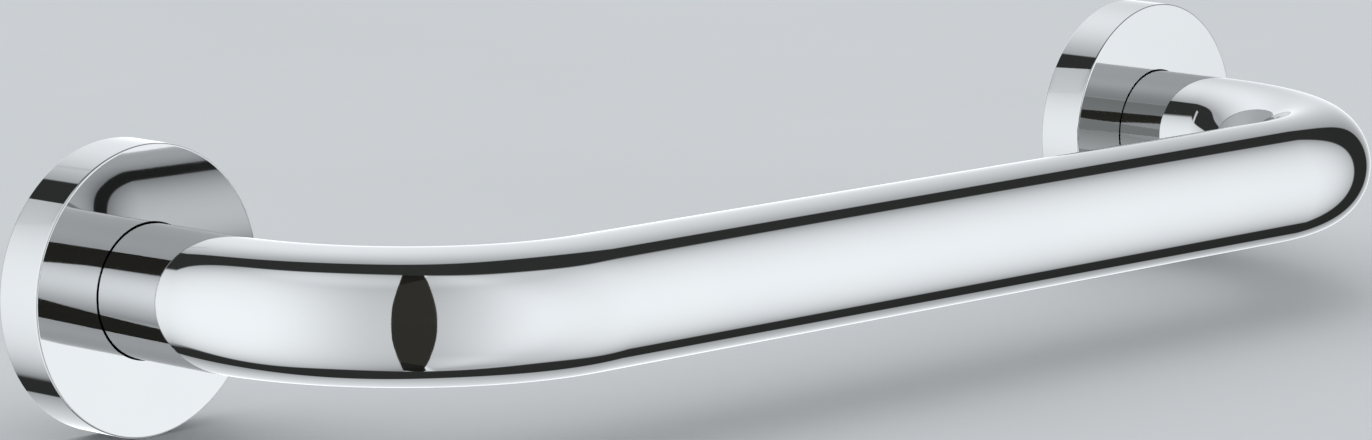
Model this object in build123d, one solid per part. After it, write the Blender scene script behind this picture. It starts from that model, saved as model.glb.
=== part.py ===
"""Wall grab bar: a bent round tube carried by two round rosettes, each hooked on a hidden wall bracket.

Frame, in millimetres: the wall is the plane y = 0 and the bar stands off it towards -Y.
X runs along the bar, Z is up. The origin is on the wall, midway between the two rosettes.

Each end is built in a local frame whose z is the distance off the wall, whose y is up and
whose origin is the centre of the rosette's back, and is then turned so that local z becomes -Y.
"""

import os

from build123d import *

# ---- overall layout ------------------------------------------------------------------
CENTRES = 295.0          # between the two rosette axes, the drilling distance
PROJECTION = 75.0        # wall to the tube's centreline on the long run
TUBE_D = 25.0            # outside diameter of the tube
TUBE_WALL = 1.5
BEND_R = 46.5            # centreline radius of both bends

# ---- rosette -------------------------------------------------------------------------
ROSETTE_D = 54.0
ROSETTE_T = 10.0         # wall to the front face
ROSETTE_RIM = 3.0        # thickness of the rim
ROSETTE_PLATE = 3.5      # thickness of the front plate
FRONT_EDGE_R = 0.4
BACK_EDGE_R = 0.3
SEAT_GAP = 0.2           # shadow gap between the tube and the seat sunk in the front face
SEAT_DEPTH = 1.0
SEAT_EDGE = 0.06         # chamfer on the seat's mouth
BOSS_D = 22.0            # boss behind the plate that takes the clamp screw's head
BOSS_Z = 3.5             # wall to the boss's back face
SCREW_HOLE_D = 8.4
SINK_D = 16.4            # mouth of the countersink, 90 degrees

# ---- clamp screw, M8 countersunk, and the end plug that it pulls on ----------------------
M8_D = 8.0
HEAD_D = 16.0
HEAD_Z = 3.68            # wall to the head's flat, just below the boss's face
CLAMP_END = 23.0         # wall to the screw's end
SOCKET_AF = 5.0
SOCKET_DEPTH = 2.8
PLUG_LEN = 16.0
PLUG_EDGE = 1.0
PLUG_CLEAR = 0.02        # radial, plug in the tube's bore
TAP_CLEAR = 0.06         # radial, screw crest in the tapped hole

# ---- wall bracket ----------------------------------------------------------------------
BRACKET_D = 47.7
BRACKET_H = 6.2
BRACKET_BASE = 3.0
BRACKET_RIM = 3.0
BRACKET_BORE_D = 23.0    # clears the boss
GROOVE_Z = 3.4           # wall to the middle of the grip groove
GROOVE_DEPTH = 1.0
GROOVE_FLOOR = 2.2       # width of the groove's floor, with 45 degree flanks
HOLE_SPREAD = 32.0       # between the two wall screw slots of one bracket, up and down
SLOT_W = 5.5
SLOT_LEN = 8.5           # along X, to take up an error in the drilling distance

# ---- set screw, M5, in the underside of the rosette's rim ------------------------------
M5_D = 5.0
SET_TIP_R = 22.86        # rosette axis to the point
SET_TIP_D = 2.0
SET_END_R = 26.6         # rosette axis to the socket end, 0.4 below the rim
SET_HOLE_D = 5.12
SET_AF = 2.5
SET_SOCKET = 1.6


def ring_profile(points):
    """A face in the local XZ plane from (radius, height) points, turned about local z."""
    outline = Polyline(*[(r, 0, z) for r, z in points], close=True)
    return revolve(make_face(outline), Axis.Z, 360)


def circles_at(shape, radius, z):
    return [
        e
        for e in shape.edges().filter_by(GeomType.CIRCLE)
        if abs(e.radius - radius) < 1e-4 and abs(e.center().Z - z) < 1e-4
    ]


def rosette():
    """Turned cup: rim, front plate with a shallow seat for the tube, and a boss with a countersunk hole."""
    ro, ri = ROSETTE_D / 2, ROSETTE_D / 2 - ROSETTE_RIM
    inner = ROSETTE_T - ROSETTE_PLATE
    seat = TUBE_D / 2 + SEAT_GAP
    floor = ROSETTE_T - SEAT_DEPTH
    hole, sink = SCREW_HOLE_D / 2, SINK_D / 2
    cup = ring_profile(
        [
            (ri, 0),
            (ro, 0),
            (ro, ROSETTE_T),
            (seat + SEAT_EDGE, ROSETTE_T),
            (seat, ROSETTE_T - SEAT_EDGE),
            (seat, floor),
            (hole, floor),
            (hole, BOSS_Z + sink - hole),
            (sink, BOSS_Z),
            (BOSS_D / 2, BOSS_Z),
            (BOSS_D / 2, inner),
            (ri, inner),
        ]
    )
    cup = fillet(circles_at(cup, ro, ROSETTE_T), FRONT_EDGE_R)
    cup = fillet(circles_at(cup, ro, 0), BACK_EDGE_R)
    tap = Location((0, -ri - ROSETTE_RIM / 2, GROOVE_Z), (90, 0, 0)) * Cylinder(
        SET_HOLE_D / 2, ROSETTE_RIM * 2
    )
    return cup - tap


def wall_bracket():
    """Dished ring that is screwed to the wall: slotted base, and a rim with a groove for the set screw."""
    ro, ri, bore = BRACKET_D / 2, BRACKET_D / 2 - BRACKET_RIM, BRACKET_BORE_D / 2
    half = GROOVE_FLOOR / 2
    dish = ring_profile(
        [
            (bore, 0),
            (ro, 0),
            (ro, GROOVE_Z - half - GROOVE_DEPTH),
            (ro - GROOVE_DEPTH, GROOVE_Z - half),
            (ro - GROOVE_DEPTH, GROOVE_Z + half),
            (ro, GROOVE_Z + half + GROOVE_DEPTH),
            (ro, BRACKET_H),
            (ri, BRACKET_H),
            (ri, BRACKET_BASE),
            (bore, BRACKET_BASE),
        ]
    )
    slot = extrude(SlotOverall(SLOT_LEN, SLOT_W), amount=BRACKET_BASE * 3, both=True)
    for side in (-1, 1):
        dish -= Pos(0, side * HOLE_SPREAD / 2, 0) * slot
    return dish


def end_plug():
    """Turned plug fixed in the tube's end, tapped through for the clamp screw."""
    r = TUBE_D / 2 - TUBE_WALL - PLUG_CLEAR
    z0 = ROSETTE_T - SEAT_DEPTH
    z1 = z0 + PLUG_LEN
    hole = M8_D / 2 + TAP_CLEAR
    return ring_profile(
        [
            (hole + 0.6, z0),
            (r - 0.4, z0),
            (r, z0 + 0.4),
            (r, z1 - PLUG_EDGE),
            (r - PLUG_EDGE, z1),
            (hole, z1),
            (hole, z0 + 0.6),
        ]
    )


def clamp_screw():
    """Countersunk socket screw through the rosette into the end plug."""
    r, head = M8_D / 2, HEAD_D / 2
    body = ring_profile(
        [
            (0, HEAD_Z),
            (head, HEAD_Z),
            (r, HEAD_Z + head - r),
            (r, CLAMP_END - 0.8),
            (r - 0.8, CLAMP_END),
            (0, CLAMP_END),
        ]
    )
    socket = extrude(
        RegularPolygon(SOCKET_AF / 2, 6, major_radius=False), amount=SOCKET_DEPTH
    )
    return body - Pos(0, 0, HEAD_Z) * socket


def set_screw():
    """Socket set screw whose blunt point drops into the bracket's groove."""
    r, tip = M5_D / 2, SET_TIP_D / 2
    length = SET_END_R - SET_TIP_R
    body = ring_profile(
        [
            (0, 0),
            (tip, 0),
            (r, r - tip),
            (r, length - 0.3),
            (r - 0.3, length),
            (0, length),
        ]
    )
    socket = extrude(
        RegularPolygon(SET_AF / 2, 6, major_radius=False), amount=-SET_SOCKET
    )
    body = body - Pos(0, 0, length) * socket
    # local z of the screw runs down, away from the rosette's axis
    return Location((0, -SET_TIP_R, GROOVE_Z), (90, 0, 0)) * body


def bent_tube():
    """One tube: out of the left rosette, along the wall, and back into the right one."""
    start = ROSETTE_T - SEAT_DEPTH
    half = CENTRES / 2
    path = FilletPolyline(
        (-half, -start),
        (-half, -PROJECTION),
        (half, -PROJECTION),
        (half, -start),
        radius=BEND_R,
    )
    mouth = Plane(origin=(-half, -start, 0), x_dir=(1, 0, 0), z_dir=(0, -1, 0))
    section = mouth * (Circle(TUBE_D / 2) - Circle(TUBE_D / 2 - TUBE_WALL))
    return sweep(section, path=path)


def at_end(shape, side):
    """Puts a local shape at the left (-1) or right (+1) end, local z turned to -Y."""
    return Location((side * CENTRES / 2, 0, 0), (90, 0, 0)) * shape


def main():
    os.makedirs("parts", exist_ok=True)
    parts = {"grab_tube": bent_tube()}
    for side, name in ((-1, "left"), (1, "right")):
        parts[f"rosette_{name}"] = at_end(rosette(), side)
        parts[f"end_plug_{name}"] = at_end(end_plug(), side)
        parts[f"wall_bracket_{name}"] = at_end(wall_bracket(), side)
    for name, make in (("clamp_screws", clamp_screw), ("set_screws", set_screw)):
        parts[name] = Compound([at_end(make(), side).solid() for side in (-1, 1)])
    for name, shape in parts.items():
        export_step(shape, f"parts/{name}.step")
        size = shape.bounding_box().size
        print(f"{name}: {shape.volume:.0f} mm3, {size.X:.1f} x {size.Y:.1f} x {size.Z:.1f}")


main()
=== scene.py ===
"""Looks of the wall grab bar: polished chrome tube and rosettes, with the plated brackets and screws behind them.

Everything is in metres in the part's own frame: the wall is y = 0, the bar stands off it towards -Y,
X runs along the bar and Z is up. Lengths below are written in millimetres and scaled once.
"""

import math

import bmesh
import bpy
import numpy as np
from mathutils import Matrix, Vector


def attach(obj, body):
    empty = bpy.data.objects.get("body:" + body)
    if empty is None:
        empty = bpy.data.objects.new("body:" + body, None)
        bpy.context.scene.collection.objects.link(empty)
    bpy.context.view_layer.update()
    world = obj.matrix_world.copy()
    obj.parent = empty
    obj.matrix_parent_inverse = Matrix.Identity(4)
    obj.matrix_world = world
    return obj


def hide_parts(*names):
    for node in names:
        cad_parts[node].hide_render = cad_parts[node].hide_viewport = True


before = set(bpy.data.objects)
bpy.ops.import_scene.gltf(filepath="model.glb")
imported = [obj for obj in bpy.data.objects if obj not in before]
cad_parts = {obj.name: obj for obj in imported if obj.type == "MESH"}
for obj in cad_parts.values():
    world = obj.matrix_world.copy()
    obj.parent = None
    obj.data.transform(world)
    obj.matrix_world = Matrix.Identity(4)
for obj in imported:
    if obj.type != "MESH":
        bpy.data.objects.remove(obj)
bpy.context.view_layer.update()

MM = 0.001

# ---- the part's own sizes, in millimetres ---------------------------------------------------
CENTRES, PROJECTION, TUBE_R, BORE_R, BEND_R = 295.0, 75.0, 12.5, 11.0, 46.5
ROS_R, ROS_T, ROS_RIM, ROS_PLATE = 27.0, 10.0, 3.0, 3.5
FRONT_EDGE, BACK_EDGE = 0.4, 0.3
SEAT_R, SEAT_Z, SEAT_EDGE = 12.7, 9.0, 0.06
BOSS_R, BOSS_Z, HOLE_R, SINK_R = 11.0, 3.5, 4.2, 8.2
TAP_Z, TAP_R = 3.4, 2.56


# ---- mesh building: polygons with exact normals, welded into one closed mesh ---------------------
class Shell:
    """Collects polygons as corner positions with the true surface normal at each corner."""

    def __init__(self):
        self.sets = []

    def add(self, points, normals, slot=0):
        p, n = np.asarray(points, float), np.asarray(normals, float)
        if p.shape[1] == 4:
            facing = np.cross(p[:, 2] - p[:, 0], p[:, 3] - p[:, 1])
        else:
            facing = np.cross(p[:, 1] - p[:, 0], p[:, 2] - p[:, 0])
        turn = (facing * n.mean(1)).sum(1) < 0
        p[turn], n[turn] = p[turn][:, ::-1], n[turn][:, ::-1]
        self.sets.append((p, n, slot))

    def grid(self, points, normals, slot=0):
        """A sheet given as rows and columns of points."""
        p, n = np.asarray(points, float), np.asarray(normals, float)
        quad = lambda a: np.stack([a[:-1, :-1], a[1:, :-1], a[1:, 1:], a[:-1, 1:]], 2).reshape(-1, 4, 3)
        self.add(quad(p), quad(n), slot)

    def build(self, name, materials):
        corners = np.concatenate([p.reshape(-1, 3) for p, _, _ in self.sets])
        normals = np.concatenate([n.reshape(-1, 3) for _, n, _ in self.sets])
        _, first, index = np.unique(np.round(corners / 2e-4).astype(np.int64), axis=0, return_index=True, return_inverse=True)
        index = index.reshape(-1)
        sizes = np.concatenate([np.full(len(p), p.shape[1]) for p, _, _ in self.sets])
        slots = np.concatenate([np.full(len(p), s) for p, _, s in self.sets])
        ends = np.cumsum(sizes)
        faces = [index[e - s : e].tolist() for e, s in zip(ends, sizes)]
        mesh = bpy.data.meshes.new(name)
        mesh.from_pydata((corners[first] * MM).tolist(), [], faces)
        mesh.polygons.foreach_set("material_index", slots.astype(np.int32))
        mesh.polygons.foreach_set("use_smooth", np.ones(len(faces), bool))
        for m in materials:
            mesh.materials.append(m)
        length = np.linalg.norm(normals, axis=1, keepdims=True)
        mesh.normals_split_custom_set((normals / length).tolist())
        mesh.update()
        obj = bpy.data.objects.new(name, mesh)
        bpy.context.scene.collection.objects.link(obj)
        return obj


# ---- the bent tube ---------------------------------------------------------------------------
def tube_frames(arc_steps, leg_steps, run_steps):
    """Centreline points with the in-plane side direction, from the left rosette to the right one."""
    half, start = CENTRES / 2, SEAT_Z
    turn = PROJECTION - BEND_R
    pts, side = [], []
    for y in np.linspace(start, turn, leg_steps + 1)[:-1]:
        pts.append((-half, -y)), side.append((1.0, 0.0))
    for a in np.linspace(0, math.pi / 2, arc_steps + 1)[:-1]:
        pts.append((-half + BEND_R - BEND_R * math.cos(a), -turn - BEND_R * math.sin(a)))
        side.append((math.cos(a), math.sin(a)))
    for x in np.linspace(-half + BEND_R, half - BEND_R, run_steps + 1)[:-1]:
        pts.append((x, -PROJECTION)), side.append((0.0, 1.0))
    for a in np.linspace(math.pi / 2, 0, arc_steps + 1)[:-1]:
        pts.append((half - BEND_R + BEND_R * math.cos(a), -turn - BEND_R * math.sin(a)))
        side.append((-math.cos(a), math.sin(a)))
    for y in np.linspace(turn, start, leg_steps + 1):
        pts.append((half, -y)), side.append((-1.0, 0.0))
    return np.array(pts), np.array(side)


def tube_skin(radius, around, steps, outward):
    c, s = tube_frames(*steps)
    a = np.linspace(0, 2 * math.pi, around + 1)
    n = np.zeros((len(c), around + 1, 3))
    n[..., 0] = s[:, None, 0] * np.cos(a)
    n[..., 1] = s[:, None, 1] * np.cos(a)
    n[..., 2] = np.sin(a)
    p = n * radius
    p[..., 0] += c[:, None, 0]
    p[..., 1] += c[:, None, 1]
    return p, n * outward


def build_tube(materials):
    around = 192
    shell = Shell()
    outer, outer_n = tube_skin(TUBE_R, around, (96, 4, 24), 1)
    inner, inner_n = tube_skin(BORE_R, around, (16, 2, 2), -1)
    shell.grid(outer, outer_n)
    shell.grid(inner, inner_n, 1)
    for row in (0, -1):
        ring = np.stack([inner[row], outer[row]])
        shell.grid(ring, np.broadcast_to((0.0, 1.0, 0.0), ring.shape), 1)
    return shell.build("grab_tube_polished", materials)


# ---- a rosette ---------------------------------------------------------------------------------
def line(a, b, steps=1):
    t = np.linspace(0, 1, steps + 1)[:, None]
    d = np.array(b, float) - np.array(a, float)
    p = np.array(a, float) + d * t
    return p, np.broadcast_to(np.array((d[1], -d[0])) / np.hypot(*d), p.shape)


def arc(centre, radius, a0, a1, steps=10):
    a = np.radians(np.linspace(a0, a1, steps + 1))
    n = np.stack([np.cos(a), np.sin(a)], 1)
    return np.array(centre, float) + n * radius, n


def to_world(local, x0, direction=False):
    """Local z, the distance off the wall, becomes -Y and local y becomes Z."""
    w = np.stack([local[..., 0], -local[..., 2], local[..., 1]], -1)
    return w if direction else w + np.array((x0, 0.0, 0.0))


def build_rosette(name, x0, materials):
    around, half_patch = 256, 5
    ri, inner = ROS_R - ROS_RIM, ROS_T - ROS_PLATE
    rows = [0.5, 1.95, TAP_Z, 4.85, 6.3]
    theta = np.linspace(0, 2 * math.pi, around + 1) - math.pi / 2
    near = np.arange(-half_patch, half_patch + 1)
    patch_theta = near * (2 * math.pi / around) - math.pi / 2
    shell = Shell()

    def turned(profile, slot=0, columns=theta):
        p, n = profile
        c, s = np.cos(columns), np.sin(columns)
        full = lambda a: np.stack([a[:, None, 0] * c, a[:, None, 0] * s, np.repeat(a[:, 1:2], len(columns), 1)], -1)
        shell.grid(to_world(full(p), x0), to_world(full(n), x0, True), slot)

    # around the rim with the set screw's hole left out of one patch
    rest = np.concatenate([theta[half_patch : around - half_patch + 1]])

    def holed_wall(radius, low, high, sign, slot):
        levels = [low, *rows, high]
        p = np.array([(radius, z) for z in levels])
        n = np.broadcast_to((float(sign), 0.0), p.shape)
        turned((p, n), slot, rest)
        turned((p[:2], n[:2]), slot, patch_theta)
        turned((p[-2:], n[-2:]), slot, patch_theta)
        # the patch: from its rectangular edge to the round hole
        edge = [(t, rows[0]) for t in patch_theta[:-1]]
        edge += [(patch_theta[-1], z) for z in rows[:-1]]
        edge += [(t, rows[-1]) for t in patch_theta[:0:-1]]
        edge += [(patch_theta[0], z) for z in rows[:0:-1]]
        edge = np.array(edge + edge[:1])
        at_edge = np.stack([radius * np.cos(edge[:, 0]), radius * np.sin(edge[:, 0]), edge[:, 1]], 1)
        ang = np.unwrap(np.arctan2(at_edge[:, 2] - TAP_Z, at_edge[:, 0]))
        fine = np.interp(np.arange(0, len(ang) - 0.75, 0.5), np.arange(len(ang)), ang)
        fine = np.concatenate([fine[: 2 * (len(ang) - 1)], [ang[-1]]])
        u = TAP_R * np.cos(fine)
        hole = np.stack([u, -np.sqrt(radius**2 - u**2), TAP_Z + TAP_R * np.sin(fine)], 1)
        radial = lambda a: np.stack([a[..., 0], a[..., 1], np.zeros(a.shape[:-1])], -1) / radius * sign
        tris = []
        for i in range(len(edge) - 1):
            b0, b1 = at_edge[i], at_edge[i + 1]
            c0, c1, c2 = hole[2 * i], hole[2 * i + 1], hole[2 * i + 2]
            tris += [(b0, c0, c1), (b0, c1, b1), (b1, c1, c2)]
        tris = np.array(tris)
        shell.add(to_world(tris, x0), to_world(radial(tris), x0, True), slot)
        return hole, fine

    outer_hole, fine = holed_wall(ROS_R, BACK_EDGE, ROS_T - FRONT_EDGE, 1, 0)
    inner_hole, _ = holed_wall(ri, 0.0, inner, -1, 1)
    bore_n = np.stack([-np.cos(fine), 0 * fine, -np.sin(fine)], 1)
    steps = np.linspace(0, 1, 5)[:, None, None]
    # the hole's own angles differ a little between the two walls, so the bore follows both rims
    wall = outer_hole[None] * (1 - steps) + inner_hole[None] * steps
    shell.grid(to_world(wall, x0), to_world(np.broadcast_to(bore_n, wall.shape), x0, True), 1)

    turned(line((ri, 0), (ROS_R - BACK_EDGE, 0), 2), 1)
    turned(arc((ROS_R - BACK_EDGE, BACK_EDGE), BACK_EDGE, -90, 0))
    turned(arc((ROS_R - FRONT_EDGE, ROS_T - FRONT_EDGE), FRONT_EDGE, 0, 90, 14))
    turned(line((ROS_R - FRONT_EDGE, ROS_T), (SEAT_R + SEAT_EDGE, ROS_T), 8))
    # slot 2 (the chamfer, wall and floor of the tube's groove) takes the groove's painted shade
    turned(line((SEAT_R + SEAT_EDGE, ROS_T), (SEAT_R, ROS_T - SEAT_EDGE)), 2)
    turned(line((SEAT_R, ROS_T - SEAT_EDGE), (SEAT_R, SEAT_Z), 2), 2)
    turned(line((SEAT_R, SEAT_Z), (HOLE_R, SEAT_Z), 4), 2)
    turned(line((HOLE_R, SEAT_Z), (HOLE_R, BOSS_Z + SINK_R - HOLE_R)), 1)
    turned(line((HOLE_R, BOSS_Z + SINK_R - HOLE_R), (SINK_R, BOSS_Z), 2), 1)
    turned(line((SINK_R, BOSS_Z), (BOSS_R, BOSS_Z)), 1)
    turned(line((BOSS_R, BOSS_Z), (BOSS_R, inner), 2), 1)
    turned(line((BOSS_R, inner), (ri, inner), 4), 1)
    return shell.build(name, materials)


# ---- node building -------------------------------------------------------------------------------
class Nodes:
    """A node tree that is written as sums: every call returns an output that the next call can take."""

    def __init__(self, tree):
        self.tree = tree
        tree.nodes.clear()

    def add(self, kind, **settings):
        node = self.tree.nodes.new("ShaderNode" + kind)
        for key, value in settings.items():
            setattr(node, key, value)
        return node

    def put(self, socket, value):
        if isinstance(value, bpy.types.NodeSocket):
            self.tree.links.new(value, socket)
        elif isinstance(value, tuple) and len(value) == 3 and socket.type == "RGBA":
            socket.default_value = (*value, 1.0)
        else:
            socket.default_value = value

    def math(self, operation, *values):
        node = self.add("Math", operation=operation)
        for socket, value in zip(node.inputs, values):
            self.put(socket, value)
        return node.outputs[0]

    def vector(self, operation, *values, out=0):
        node = self.add("VectorMath", operation=operation)
        for socket, value in zip(node.inputs, values):
            self.put(socket, value)
        return node.outputs[out]

    def dot(self, vector, constant):
        return self.vector("DOT_PRODUCT", vector, constant, out="Value")

    def spread(self, value, low, high, to_low=0.0, to_high=1.0, kind="LINEAR"):
        node = self.add("MapRange", interpolation_type=kind)
        for socket, v in zip(node.inputs, (value, low, high, to_low, to_high)):
            self.put(socket, v)
        return node.outputs[0]

    def noise(self, vector, scale, detail=3.0, rough=0.5):
        node = self.add("TexNoise")
        self.put(node.inputs["Vector"], vector)
        self.put(node.inputs["Scale"], scale)
        self.put(node.inputs["Detail"], detail)
        self.put(node.inputs["Roughness"], rough)
        return node.outputs[0]

    def blend(self, factor, a, b):
        node = self.add("Mix", data_type="RGBA")
        self.put(node.inputs["Factor"], factor)
        self.put(node.inputs[6], a)
        self.put(node.inputs[7], b)
        return node.outputs[2]

    def place(self):
        return self.add("TexCoord").outputs["Object"]

    def bump(self, height, distance, before=None):
        node = self.add("Bump")
        self.put(node.inputs["Height"], height)
        self.put(node.inputs["Distance"], distance)
        if before is not None:
            self.put(node.inputs["Normal"], before)
        return node.outputs[0]


def material(name, metallic, **sockets):
    """A Principled material; what stays the same all over is set on the shader, the rest is linked by the caller."""
    m = bpy.data.materials.new(name)
    m.use_nodes = True
    g = Nodes(m.node_tree)
    shader, out = g.add("BsdfPrincipled"), g.add("OutputMaterial")
    g.tree.links.new(shader.outputs[0], out.inputs[0])
    shader.inputs["Metallic"].default_value = metallic
    for key, value in sockets.items():
        g.put(shader.inputs[key.replace("_", " ")], value)
    return m, g, lambda key, value: g.put(shader.inputs[key], value)


def from_axis(g):
    """Distance from the nearer rosette's axis, and the angle round it."""
    split = g.add("SeparateXYZ")
    g.put(split.inputs[0], g.place())
    x, y, z = split.outputs
    side = g.math("SUBTRACT", g.math("ABSOLUTE", x), CENTRES / 2 * MM)
    radius = g.math("SQRT", g.math("ADD", g.math("MULTIPLY", side, side), g.math("MULTIPLY", z, z)))
    return radius, g.math("ARCTAN2", z, side), y


# ---- materials -----------------------------------------------------------------------------------
def chrome_plate():
    m, g, link = material("bright_chrome", 1.0, Specular_Tint=(0.66, 0.66, 0.66))
    at = g.place()
    # the plating's colour hardly changes: a little cooler where it is thickest
    link("Base Color", g.blend(g.noise(at, 30.0, 2.0), (0.478, 0.483, 0.486), (0.502, 0.505, 0.506)))
    # polish: wiped patches and the finest hairlines
    patches = g.spread(g.noise(at, 55.0, 4.0, 0.6), 0.35, 0.7, 0.018, 0.036)
    hair = g.add("Mapping")
    g.put(hair.inputs["Vector"], at)
    hair.inputs["Scale"].default_value = (900.0, 900.0, 5200.0)
    lines = g.spread(g.noise(hair.outputs[0], 1.0, 2.0), 0.66, 0.8, 0.0, 0.014)
    link("Roughness", g.math("ADD", patches, lines))
    link("Normal", g.bump(g.noise(at, 150.0, 1.0), 3e-8))
    return m


def turned_metal(name, dark, light, low, high, pitch):
    """Machined faces: fine turning rings about the rosette's axis, with patches left by the plating bath."""
    m, g, link = material(name, 1.0)
    at = g.place()
    radius, angle, depth = from_axis(g)
    wobble = g.math("MULTIPLY", g.noise(at, 260.0, 2.0), 0.35)
    along = g.math("ADD", radius, depth)
    rings = g.math("SINE", g.math("ADD", g.math("MULTIPLY", along, 2 * math.pi / pitch), g.math("MULTIPLY", wobble, 9.0)))
    patches = g.noise(at, 120.0, 5.0, 0.62)
    link("Base Color", g.blend(g.spread(patches, 0.3, 0.7), dark, light))
    rough = g.spread(g.noise(at, 420.0, 3.0), 0.3, 0.7, low, high)
    link("Roughness", g.math("ADD", rough, g.math("MULTIPLY", rings, 0.03)))
    link("Normal", g.bump(rings, 4e-6))
    return m


def zinc_plate():
    """Pressed steel with bright zinc: faint blue and straw patches, and edges rubbed bright."""
    m, g, link = material("zinc_plate", 1.0)
    at = g.place()
    blue = g.blend(g.spread(g.noise(at, 70.0, 4.0), 0.35, 0.68), (0.205, 0.220, 0.236), (0.262, 0.262, 0.248))
    worn = g.spread(g.add("NewGeometry").outputs["Pointiness"], 0.51, 0.56)
    link("Base Color", g.blend(worn, blue, (0.33, 0.33, 0.325)))
    grain = g.noise(at, 1900.0, 3.0, 0.65)
    link("Roughness", g.spread(grain, 0.3, 0.75, 0.27, 0.43))
    link("Normal", g.bump(grain, 7e-6))
    return m


def screw_steel(name, dark, light, pitch):
    """Screw steel with a rolled thread; the pitch is the thread's own."""
    m, g, link = material(name, 1.0)
    at = g.place()
    radius, angle, depth = from_axis(g)
    turn = g.math("ADD", g.math("MULTIPLY", depth, 2 * math.pi / pitch), angle)
    thread = g.math("PINGPONG", g.math("DIVIDE", turn, math.pi), 1.0)
    grain = g.noise(at, 1500.0, 3.0, 0.6)
    link("Base Color", g.blend(g.spread(grain, 0.32, 0.7), dark, light))
    link("Roughness", g.spread(g.noise(at, 500.0, 3.0), 0.3, 0.7, 0.24, 0.38))
    link("Normal", g.bump(thread, 1.6e-4 * pitch / 0.00125, g.bump(grain, 3e-6)))
    return m


def grub_steel():
    """The set screws: stainless, with a ground end."""
    m, g, link = material("grub_steel", 1.0)
    at = g.place()
    grain = g.noise(at, 2600.0, 3.0, 0.6)
    link("Base Color", g.blend(g.spread(grain, 0.3, 0.7), (0.30, 0.295, 0.285), (0.44, 0.435, 0.425)))
    link("Roughness", g.spread(g.noise(at, 900.0, 2.0), 0.3, 0.7, 0.22, 0.36))
    link("Normal", g.bump(grain, 4e-6))
    return m


def seat_shadow():
    """The narrow groove round the tube: dull, and near black as painted shade for the shadow inside the recess."""
    m, g, link = material("seat_groove_painted_shade", 0.0, Specular_IOR_Level=0.2)
    at = g.place()
    # painted shade: this near-black colour stands in for the shadow that falls inside the groove
    link("Base Color", g.blend(g.noise(at, 900.0, 3.0), (0.004, 0.004, 0.004), (0.012, 0.012, 0.011)))
    link("Roughness", g.spread(g.noise(at, 1400.0, 2.0), 0.3, 0.7, 0.6, 0.85))
    return m


def pale_floor():
    m, g, link = material("pale_floor", 0.0, Specular_IOR_Level=0.0)
    at = g.place()
    link("Base Color", g.blend(g.noise(at, 9.0, 4.0), (0.262, 0.266, 0.268), (0.278, 0.281, 0.283)))
    link("Roughness", g.spread(g.noise(at, 30.0, 3.0), 0.3, 0.7, 0.8, 0.95))
    # only the upper side is there, so that the part can be looked at from below as well
    out = next(n for n in g.tree.nodes if n.type == "OUTPUT_MATERIAL")
    top, one_sided = out.inputs[0].links[0].from_socket, g.add("MixShader")
    g.put(one_sided.inputs[0], g.add("NewGeometry").outputs["Backfacing"])
    g.put(one_sided.inputs[1], top)
    g.put(one_sided.inputs[2], g.add("BsdfTransparent").outputs[0])
    g.put(out.inputs[0], one_sided.outputs[0])
    return m


chrome = chrome_plate()
inside = turned_metal("machined_inside", (0.22, 0.216, 0.208), (0.30, 0.296, 0.288), 0.26, 0.42, 0.00045)
brass = turned_metal("turned_brass", (0.42, 0.29, 0.125), (0.54, 0.40, 0.195), 0.2, 0.34, 0.0004)
seat = seat_shadow()
zinc = zinc_plate()
screw = screw_steel("screw_steel", (0.20, 0.205, 0.21), (0.29, 0.292, 0.295), 0.00125)
grub = grub_steel()

tube = build_tube([chrome, inside])
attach(tube, "root")
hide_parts("grab_tube")
for word, sign in (("left", -1), ("right", 1)):
    ros = build_rosette(f"rosette_{word}_polished", sign * CENTRES / 2, [chrome, inside, seat])
    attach(ros, "root")
    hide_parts(f"rosette_{word}")

for node, mat in {
    "wall_bracket_left": zinc,
    "wall_bracket_right": zinc,
    "end_plug_left": brass,
    "end_plug_right": brass,
    "clamp_screws": screw,
    "set_screws": grub,
}.items():
    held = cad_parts[node].data.materials
    held.clear()
    held.append(mat)

# ---- floor and camera --------------------------------------------------------------------------------
floor_mesh = bpy.data.meshes.new("floor")
FLOOR_Z, FAR = -0.0271, 20.0
floor_mesh.from_pydata([(-FAR, -FAR, FLOOR_Z), (FAR, -FAR, FLOOR_Z), (FAR, FAR, FLOOR_Z), (-FAR, FAR, FLOOR_Z)], [], [(0, 1, 2, 3)])
floor = bpy.data.objects.new("floor", floor_mesh)
bpy.context.scene.collection.objects.link(floor)
floor_mesh.materials.append(pale_floor())
floor.visible_glossy = False

# the camera: a turn vector and a shift that take the part's frame to the camera's, in millimetres
turn = Vector((0.15472471, -0.82640837, -0.05861612))
shift = Vector((-4.778934, -4.835249, 1162.971693))
to_cam = Matrix.Rotation(turn.length, 3, turn.normalized()) @ Matrix(((1, 0, 0), (0, 0, -1), (0, 1, 0)))
cam_data = bpy.data.cameras.new("camera")
cam_data.sensor_width = 36.0
cam_data.lens = 5791.127 / 1372 * 36.0
cam = bpy.data.objects.new("camera", cam_data)
cam.matrix_world = Matrix.LocRotScale(
    -(to_cam.transposed() @ shift) * MM,
    (to_cam.transposed() @ Matrix.Diagonal((1, -1, -1))).to_quaternion(),
    (1, 1, 1),
)
cam_data.clip_start, cam_data.clip_end = 0.05, 50
bpy.context.scene.collection.objects.link(cam)
bpy.context.scene.camera = cam

# ---- the studio: three large soft panels round the part, with gaps between them --------------------
# The two front panels are the world, seen through a dome that frames them; the back panel is on the dome itself.
# Upright black flags stand between the front panels. Dome and flags are only seen in reflections.
GAIN = 1 / 0.4925
LAMP = (0.964, 1.0, 1.03)
GLOOM = (0.0240, 0.0262, 0.0245)
FLAG = (0.0270, 0.0262, 0.0225)
GREY = (0.545, 0.57, 0.578)
EDGE = 0.012


def facing(bearing, lean=0.0):
    n = np.array((math.cos(math.radians(bearing)), math.sin(math.radians(bearing)), lean))
    return tuple((n / np.linalg.norm(n)).tolist())


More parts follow.
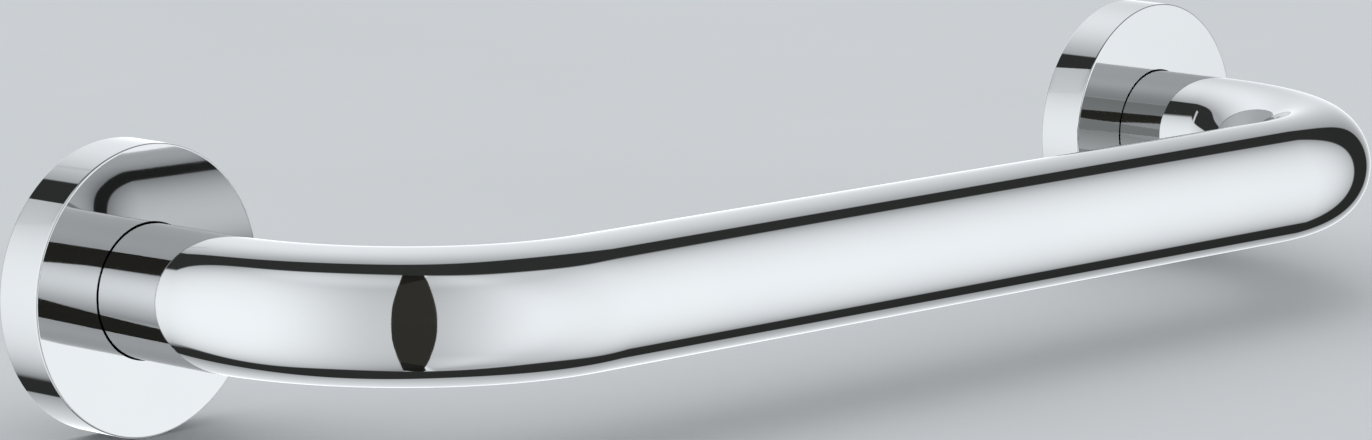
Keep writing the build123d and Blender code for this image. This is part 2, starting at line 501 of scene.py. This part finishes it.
def falloff(g, inset, edge, width):
    """A soft box: dimmer at its edge, full brightness further in."""
    fade = g.math("EXPONENT", g.math("DIVIDE", g.math("MAXIMUM", inset, 0.0), -width))
    return g.math("MULTIPLY_ADD", fade, edge - 1.0, 1.0)


def lit(g, inset):
    return g.spread(inset, -EDGE, EDGE, kind="SMOOTHSTEP")


def join(g, a, b, k):
    """A smooth larger-of-two for k above nought, smaller-of-two below."""
    total = g.math("ADD", g.math("EXPONENT", g.math("DIVIDE", a, k)), g.math("EXPONENT", g.math("DIVIDE", b, k)))
    return g.math("MULTIPLY", g.math("LOGARITHM", total, math.e), k)


def shaped(g, inset, way, pulls):
    """Moves a panel's edge in or out near a few places on the dome: bearing, height and amount."""
    for bearing, height, amount in pulls:
        a, b = math.radians(bearing), math.radians(height)
        place = (math.sin(a) * math.cos(b), -math.cos(a) * math.cos(b), math.sin(b))
        near = g.math("EXPONENT", g.math("MULTIPLY_ADD", g.dot(way, place), 20.0, -20.0))
        inset = g.math("MULTIPLY_ADD", near, amount, inset)
    return inset


FRONT_PULLS = (
    (-112, 30, -0.1568),
    (-100, 46, 0.0771),
    (-70, 50, -0.0451),
    (-35, 42, 0.0233),
    (5, 46, -0.0561),
    (42, 42, 0.0388),
    (54, 0, -0.0394),
    (12, -42, 0.0453),
    (-5, -44, -0.0916),
    (-28, -45, 0.1643),
    (-50, -49, -0.1255),
    (-75, -53, 0.0270),
    (-88, -52, 0.0116),
    (-101, -45, -0.0842),
    (-114, -40, -0.1281),
    (-126, -46, 0.2101),
)
BACK_PULLS = (
    (-138, 35, 0.1347),
    (-133, 57, -0.0495),
    (-100, 68, 0.0546),
    (-30, 68, 0.0150),
    (25, 66, -0.0144),
    (76, 0, 0.0141),
    (-60, -78, -0.0829),
    (-120, -68, 0.0826),
    (-141, -48, -0.0213),
)

world = bpy.data.worlds.new("studio")
bpy.context.scene.world = world
world.use_nodes = True
g = Nodes(world.node_tree)
way = g.add("TexCoord").outputs["Generated"]
right = g.math("ADD", g.dot(way, facing(-35.4341)), 0.05)
left = g.math("SUBTRACT", 0.1, g.dot(way, facing(-49.841)))
on_right, on_left = lit(g, g.math("SUBTRACT", right, 0.05)), lit(g, left)
between = g.math("MULTIPLY", g.math("SUBTRACT", 1.0, on_right), g.math("SUBTRACT", 1.0, on_left))
# the right panel's lamp is brightest straight ahead
split = g.add("SeparateXYZ")
g.put(split.inputs[0], way)
level = g.vector("NORMALIZE", g.vector("MULTIPLY", way, (1.0, 1.0, 0.0)))
ahead = g.math("EXPONENT", g.math("MULTIPLY_ADD", g.dot(level, facing(-91.0)), 16.0, -16.0))
lamp = g.math("MULTIPLY_ADD", ahead, 0.23, 1.0)
glow = g.math("MULTIPLY", g.math("MULTIPLY", on_right, 1.30 * GAIN), falloff(g, right, 0.537, 0.826))
glow = g.math("MULTIPLY", glow, lamp)
# it has a little more light at its foot, and both panels have more at the top
glow = g.math("MULTIPLY", glow, g.spread(split.outputs[2], -0.80, -1.0, 1.0, 1.3, "SMOOTHSTEP"))
glow = g.math("MULTIPLY_ADD", on_left, g.spread(left, 0.15, 0.82, 0.735 * 1.0631 * GAIN, 1.0631 * GAIN, "SMOOTHSTEP"), glow)
gap = g.math("MULTIPLY", g.spread(right, -0.10, 0.05, 1.75 * GAIN, 0.76 * GAIN), g.spread(split.outputs[2], -0.25, 0.45, 0.91, 1.43))
glow = g.math("MULTIPLY_ADD", between, gap, glow)
glow = g.math("MULTIPLY", glow, g.spread(split.outputs[2], 0.80, 1.0, 1.0, 1.5, "SMOOTHSTEP"))
panels, plain = g.add("Background"), g.add("Background")
panels.inputs["Color"].default_value = (*LAMP, 1.0)
g.put(panels.inputs["Strength"], glow)
plain.inputs["Color"].default_value = (0.58, 0.59, 0.595, 1.0)
choose, out = g.add("MixShader"), g.add("OutputWorld")
g.put(choose.inputs[0], g.add("LightPath").outputs["Is Camera Ray"])
g.put(choose.inputs[1], panels.outputs[0])
g.put(choose.inputs[2], plain.outputs[0])
g.put(out.inputs[0], choose.outputs[0])


def only_reflected(obj):
    obj.visible_camera = obj.visible_diffuse = obj.visible_shadow = False
    obj.visible_transmission = obj.visible_volume_scatter = False


dome_mesh = bpy.data.meshes.new("studio_dome")
ball = bmesh.new()
bmesh.ops.create_icosphere(ball, subdivisions=6, radius=1.0)
ball.to_mesh(dome_mesh)
ball.free()
dome_mesh.polygons.foreach_set("use_smooth", np.ones(len(dome_mesh.polygons), bool))
dome = bpy.data.objects.new("studio_dome", dome_mesh)
dome.location, dome.scale = (0.1864, 0.3621, -0.034), (0.836, 0.836, 0.836)
bpy.context.scene.collection.objects.link(dome)
only_reflected(dome)

sheet = bpy.data.materials.new("studio_dome")
sheet.use_nodes = True
g = Nodes(sheet.node_tree)
way = g.place()
to_front_right = g.math("SUBTRACT", -0.6919, g.dot(way, facing(100.1615, -0.0266)))
to_front_left = g.math("SUBTRACT", g.dot(way, facing(-165.9894, -0.0477)), 0.5861)
to_back_right = g.math("ADD", g.dot(way, facing(103.165, -0.0095)), 0.4349)
to_back_left = g.math("SUBTRACT", 0.2916, g.dot(way, facing(190.7005, -0.03)))
front = join(g, to_front_right, to_front_left, 0.1233)
back = join(g, to_back_right, to_back_left, -0.15)
on_front = lit(g, shaped(g, front, way, FRONT_PULLS))
on_back = lit(g, shaped(g, back, way, BACK_PULLS))
clear, glows, gloom = g.add("BsdfTransparent"), g.add("Emission"), g.add("Emission")
g.put(clear.inputs["Color"], g.math("MULTIPLY", on_front, falloff(g, front, 0.3502, 0.2968)))
glows.inputs["Color"].default_value = (*LAMP, 1.0)
g.put(glows.inputs["Strength"], g.math("MULTIPLY", g.math("MULTIPLY", on_back, 1.40 * GAIN), falloff(g, back, 0.2614, 1.0)))
gloom.inputs["Color"].default_value = (*GLOOM, 1.0)
g.put(gloom.inputs["Strength"], g.math("MULTIPLY", g.math("SUBTRACT", 1.0, g.math("MAXIMUM", on_front, on_back)), GAIN))
first, second, out = g.add("AddShader"), g.add("AddShader"), g.add("OutputMaterial")
g.put(first.inputs[0], clear.outputs[0])
g.put(first.inputs[1], glows.outputs[0])
g.put(second.inputs[0], first.outputs[0])
g.put(second.inputs[1], gloom.outputs[0])
g.put(out.inputs[0], second.outputs[0])
dome_mesh.materials.append(sheet)


def cloth(name, color, low=0.0):
    """A plain cloth; low is how much more light it has at its foot."""
    m = bpy.data.materials.new(name)
    m.use_nodes = True
    g = Nodes(m.node_tree)
    glows, out = g.add("Emission"), g.add("OutputMaterial")
    glows.inputs["Color"].default_value = (*color, 1.0)
    if low:
        split = g.add("SeparateXYZ")
        g.put(split.inputs[0], g.place())
        down = g.math("MAXIMUM", g.math("DIVIDE", split.outputs[2], split.outputs[1]), 0.0)
        g.put(glows.inputs["Strength"], g.math("MULTIPLY_ADD", g.math("POWER", down, 1.5), low * GAIN, GAIN))
    else:
        glows.inputs["Strength"].default_value = GAIN
    g.put(out.inputs[0], glows.outputs[0])
    return m


def sheet_of(name, corners, mat):
    """A flat sheet from its outline, given as points in metres."""
    mesh = bpy.data.meshes.new(name)
    mesh.from_pydata(corners, [], [tuple(range(len(corners)))])
    mesh.materials.append(mat)
    obj = bpy.data.objects.new(name, mesh)
    bpy.context.scene.collection.objects.link(obj)
    only_reflected(obj)


def strip(a, b, low, high):
    return [(*a, low), (*b, low), (*b, high), (*a, high)]


black, grey = cloth("black_flag", FLAG), cloth("grey_flag", GREY, 1.0)
dim = cloth("dim_flag", tuple(2.0 * c for c in FLAG))
# the near flag is waisted: its edge runs out from the middle line at these heights
heights = (0.0, 0.1, 0.17, 0.22, 0.3, 0.43, 0.67, 0.83, 1.5, 5.0)
to_left = (0.0400, 0.0392, 0.0366, 0.0345, 0.0328, 0.0300, 0.0285, 0.0280, 0.0270, 0.0260)
to_right = (0.0366, 0.0374, 0.0392, 0.0414, 0.0462, 0.0545, 0.0705, 0.0860, 0.1600, 0.4000)
middle, along = np.array((-0.2509, -0.1935)), np.array((0.99837, 0.05698))
outline = []
for side, sign in ((to_right, 1), (to_left, -1)):
    level = [(-h, e) for h, e in zip(heights[:0:-1], side[:0:-1])] + list(zip(heights, side))
    for h, e in level[::sign]:
        outline.append((*(middle + along * e * sign).tolist(), h))
sheet_of("near_flag", outline, black)
sheet_of("far_flag", strip((-0.453, -0.54), (-0.538, -0.54), 0.115, 3.0), dim)
sheet_of("low_flag", strip((-0.453, -0.54), (-0.538, -0.54), -3.0, 0.115), grey)
sheet_of("side_flag", strip((-0.453, -0.54), (-2.76, -4.0), -6.0, 6.0), grey)


def one_way_card(name, color):
    """A card that shows on its face and lets light through from behind."""
    m = bpy.data.materials.new(name)
    m.use_nodes = True
    g = Nodes(m.node_tree)
    glows, one_sided, out = g.add("Emission"), g.add("MixShader"), g.add("OutputMaterial")
    glows.inputs["Color"].default_value = (*color, 1.0)
    glows.inputs["Strength"].default_value = GAIN
    g.put(one_sided.inputs[0], g.add("NewGeometry").outputs["Backfacing"])
    g.put(one_sided.inputs[1], glows.outputs[0])
    g.put(one_sided.inputs[2], g.add("BsdfTransparent").outputs[0])
    g.put(out.inputs[0], one_sided.outputs[0])
    return m


# a small card just behind the bar faces the wall: the right leg mirrors it
card = one_way_card("grey_card", tuple(0.58 * c for c in GREY))
sheet_of("leg_card", [(0.035, -0.0615, -0.0115), (0.035, -0.0615, 0.0115), (0.092, -0.0615, 0.0115), (0.092, -0.0615, -0.0115)], card)


# two narrow strip lights, one for the edge of each rosette
def strip_light(name, low, high, at_low, at_high):
    m = bpy.data.materials.new(name)
    m.use_nodes = True
    g = Nodes(m.node_tree)
    glows, split, out = g.add("Emission"), g.add("SeparateXYZ"), g.add("OutputMaterial")
    glows.inputs["Color"].default_value = (*LAMP, 1.0)
    g.put(split.inputs[0], g.place())
    g.put(glows.inputs["Strength"], g.spread(split.outputs[2], low, high, at_low * GAIN, at_high * GAIN))
    g.put(out.inputs[0], glows.outputs[0])
    return m


def tilted(centre, toward, outline):
    """Corners of an outline in millimetres, drawn on a plane that faces along toward."""
    n = np.array(toward) / np.linalg.norm(toward)
    across = np.cross(n, (0, 0, 1))
    across /= np.linalg.norm(across)
    up = np.cross(across, n)
    return [tuple((np.array(centre) + (a * across + b * up) * MM).tolist()) for a, b in outline]


right_edge = [(33.4, 42.6), (34.4, 60.5), (19, 40.6), (6, 21.8), (-6, 2.7), (-18, -17.9), (-28, -36.8), (-38, -58.1)]
right_edge += [(-38, -85.0), (-28, -61.2), (-18, -40.5), (-6, -17.5), (6, 2.5), (19, 21.9)]
left_edge = [(28.6, 15.0), (25, 22.5), (17.8, 18.4), (6.2, 10.8), (-4.9, 2.8), (-15.4, -5.6), (-30.3, -19.0)]
left_edge += [(-39.5, -41.0), (-25.1, -26.6), (-15.5, -17.7), (-5.5, -9.3), (5, -1.2), (16, 6.4)]
right_strip = strip_light("right_strip_light", 0.165, 0.29, 0.585, 0.485)
left_strip = strip_light("left_strip_light", 0.16, 0.215, 0.595, 0.475)
sheet_of("right_strip_light", tilted((-0.098, 0.244, 0.234), (-0.5531, 0.6221, 0.5541), right_edge), right_strip)
sheet_of("left_strip_light", tilted((-0.263, 0.219, 0.193), (-0.3141, 0.7461, 0.5871), left_edge), left_strip)

bpy.context.scene.view_settings.view_transform = "Standard"
